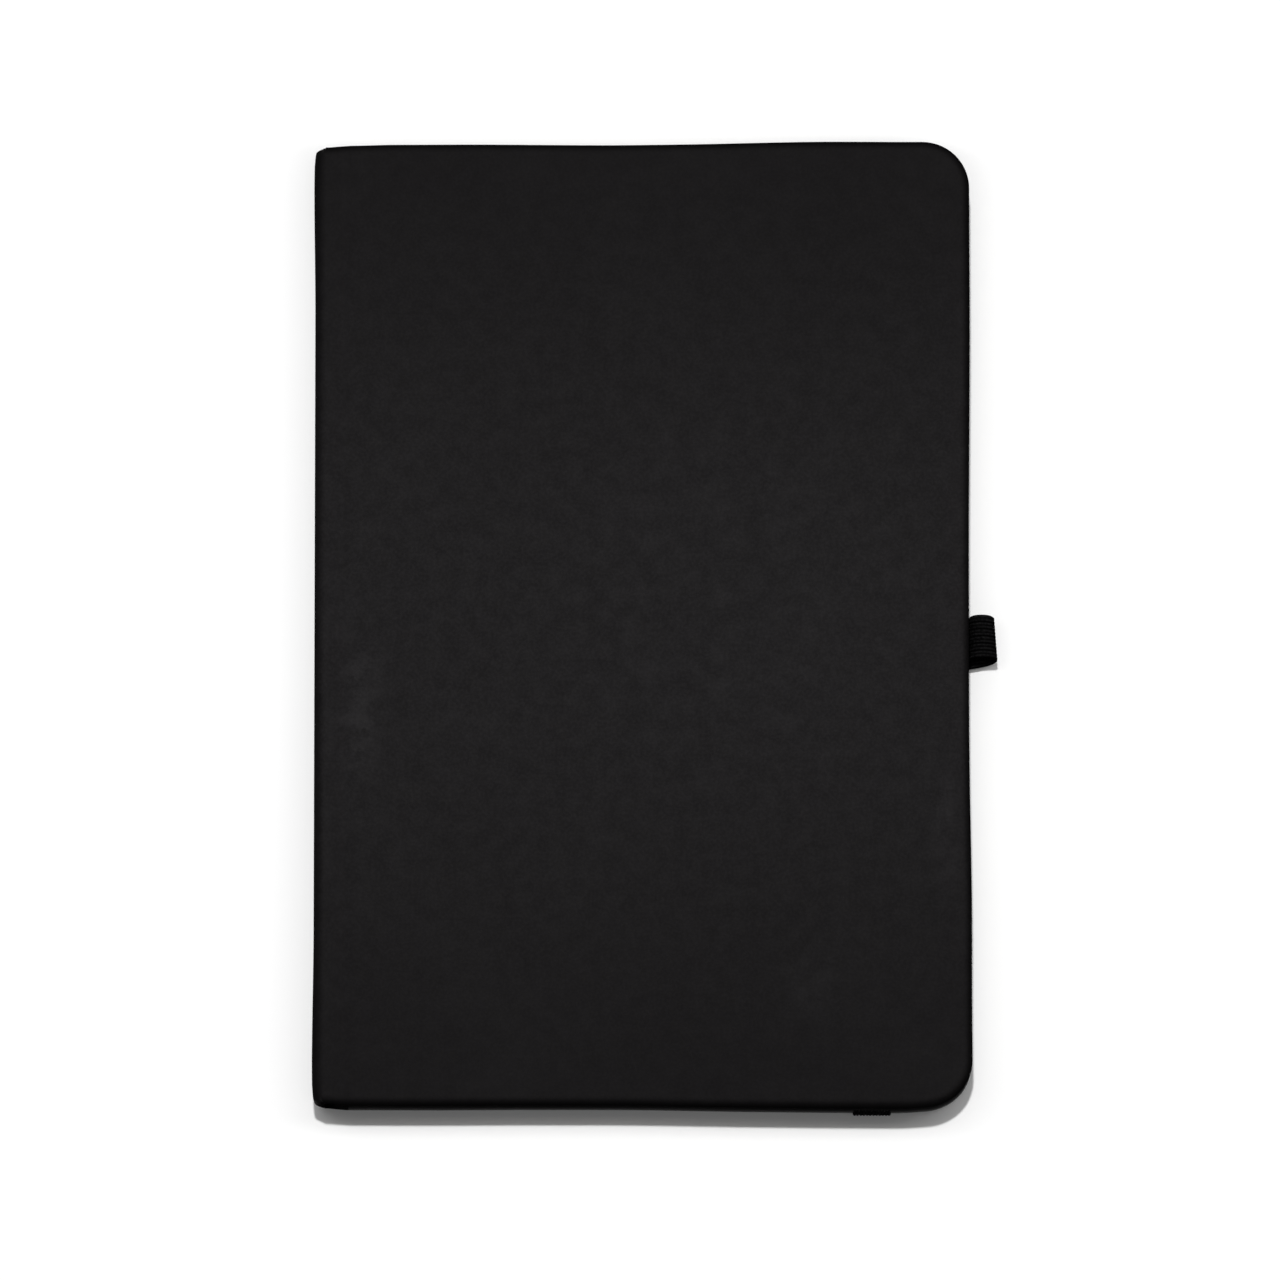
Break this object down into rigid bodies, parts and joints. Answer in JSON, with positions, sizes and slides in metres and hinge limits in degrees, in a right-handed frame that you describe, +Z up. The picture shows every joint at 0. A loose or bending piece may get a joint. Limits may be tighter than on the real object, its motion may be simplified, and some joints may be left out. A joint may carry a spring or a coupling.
{
  "type": "sketchbook",
  "caption": "Case-bound sketchbook with rounded fore-edge corners, an elastic closure lying across its back cover and an elastic pen loop at the fore edge.",
  "frame": {"origin": "middle of the footprint, on the table, under the closed book lying on its back", "axes": "+X from the spine to the fore edge, +Y to the head, +Z up out of the front cover"},
  "size_m": [0.1492, 0.2128, 0.0159],
  "materials": {
    "leathercloth": "matt soft-touch imitation leather",
    "greyboard": "uncoated greyboard",
    "endpaper": "uncoated endpaper",
    "pages": "uncoated drawing paper",
    "mull": "open starched cotton",
    "thread": "waxed linen thread",
    "headband": "woven cotton band",
    "elastic": "ribbed woven elastic"
  },
  "bodies": {
    "back_cover": {"back_board": "greyboard", "back_cover_leather": "leathercloth", "back_joint_leather": "leathercloth", "back_pastedown": "endpaper", "back_flyleaf": "endpaper", "mull_back_flap": "mull", "mull_spine": "mull", "sewing_thread": "thread", "headband_head": "headband", "headband_tail": "headband", "closure_end_head": "elastic", "closure_end_tail": "elastic"},
    "spine": {"spine_card": "greyboard", "spine_leather": "leathercloth"},
    "front_leaf": {"front_flyleaf": "endpaper"},
    "front_cover": {"front_board": "greyboard", "front_cover_leather": "leathercloth", "front_joint_leather": "leathercloth", "front_pastedown": "endpaper", "mull_front_flap": "mull"},
    "closure": {"closure_span": "elastic"},
    "loop_ends": {"pen_loop_tails": "elastic"},
    "loop": {"pen_loop": "elastic"},
    "signature_01": {"signature_01": "pages"},
    "signature_02": {"signature_02": "pages"},
    "signature_03": {"signature_03": "pages"},
    "signature_04": {"signature_04": "pages"},
    "signature_05": {"signature_05": "pages"},
    "signature_06": {"signature_06": "pages"},
    "signature_07": {"signature_07": "pages"},
    "signature_08": {"signature_08": "pages"},
    "signature_09": {"signature_09": "pages"},
    "signature_10": {"signature_10": "pages"}
  },
  "joints": [
    {"name": "spine_swing", "type": "hinge", "parent": "back_cover", "child": "spine", "pos_m": [-0.07163, 0, 0.00416], "axis": [0, 1, 0], "range_deg": [-90, 0], "deforming": ["back_joint_leather"]},
    {"name": "middle_opening", "type": "hinge", "parent": "spine", "child": "front_leaf", "pos_m": [-0.07163, 0, 0.0127], "axis": [0, 1, 0], "range_deg": [-90, 0], "deforming": ["mull_spine", "sewing_thread", "headband_head", "headband_tail"]},
    {"name": "front_cover_hinge", "type": "hinge", "parent": "front_leaf", "child": "front_cover", "pos_m": [-0.07163, 0, 0.0127], "axis": [0, -1, 0], "range_deg": [0, 179], "deforming": ["front_joint_leather"]},
    {"name": "closure_pull", "type": "slide", "parent": "back_cover", "child": "closure", "axis": [0, 0, -1], "range_m": [0, 0.015], "stiffness_N_per_m": 80, "deforming": ["closure_end_head", "closure_end_tail"]},
    {"name": "pen_loop_stretch", "type": "slide", "parent": "back_cover", "child": "loop_ends", "axis": [1, 0, 0], "range_m": [0, 0.003], "stiffness_N_per_m": 150},
    {"name": "pen_loop_flex", "type": "hinge", "parent": "loop_ends", "child": "loop", "pos_m": [0.06855, -0.0022, 0.00307], "axis": [0, 1, 0], "range_deg": [-12, 25], "stiffness_Nm_per_rad": 0.002},
    {"name": "signature_01_slip", "type": "slide", "parent": "front_leaf", "child": "signature_01", "axis": [1, 0, 0], "range_m": [-0.000581, 0]},
    {"name": "signature_02_slip", "type": "slide", "parent": "front_leaf", "child": "signature_02", "axis": [1, 0, 0], "range_m": [-0.0014, 0]},
    {"name": "signature_03_slip", "type": "slide", "parent": "front_leaf", "child": "signature_03", "axis": [1, 0, 0], "range_m": [-0.00222, 0]},
    {"name": "signature_04_slip", "type": "slide", "parent": "front_leaf", "child": "signature_04", "axis": [1, 0, 0], "range_m": [-0.00304, 0]},
    {"name": "signature_05_slip", "type": "slide", "parent": "front_leaf", "child": "signature_05", "axis": [1, 0, 0], "range_m": [-0.00386, 0]},
    {"name": "signature_06_slip", "type": "slide", "parent": "back_cover", "child": "signature_06", "axis": [1, 0, 0], "range_m": [-0.00386, 0]},
    {"name": "signature_07_slip", "type": "slide", "parent": "back_cover", "child": "signature_07", "axis": [1, 0, 0], "range_m": [-0.00304, 0]},
    {"name": "signature_08_slip", "type": "slide", "parent": "back_cover", "child": "signature_08", "axis": [1, 0, 0], "range_m": [-0.00222, 0]},
    {"name": "signature_09_slip", "type": "slide", "parent": "back_cover", "child": "signature_09", "axis": [1, 0, 0], "range_m": [-0.0014, 0]},
    {"name": "signature_10_slip", "type": "slide", "parent": "back_cover", "child": "signature_10", "axis": [1, 0, 0], "range_m": [-0.00058, 0]}
  ],
  "couplings": [
    {"joint": "spine_swing", "follows": "middle_opening", "ratio": 1},
    {"joint": "signature_01_slip", "follows": "middle_opening", "m_per_rad": 0.00036924},
    {"joint": "signature_02_slip", "follows": "middle_opening", "m_per_rad": 0.00089127},
    {"joint": "signature_03_slip", "follows": "middle_opening", "m_per_rad": 0.0014133},
    {"joint": "signature_04_slip", "follows": "middle_opening", "m_per_rad": 0.0019353},
    {"joint": "signature_05_slip", "follows": "middle_opening", "m_per_rad": 0.0024574},
    {"joint": "signature_06_slip", "follows": "middle_opening", "m_per_rad": 0.0024574},
    {"joint": "signature_07_slip", "follows": "middle_opening", "m_per_rad": 0.0019353},
    {"joint": "signature_08_slip", "follows": "middle_opening", "m_per_rad": 0.0014133},
    {"joint": "signature_09_slip", "follows": "middle_opening", "m_per_rad": 0.00089127},
    {"joint": "signature_10_slip", "follows": "middle_opening", "m_per_rad": 0.0003686}
  ]
}
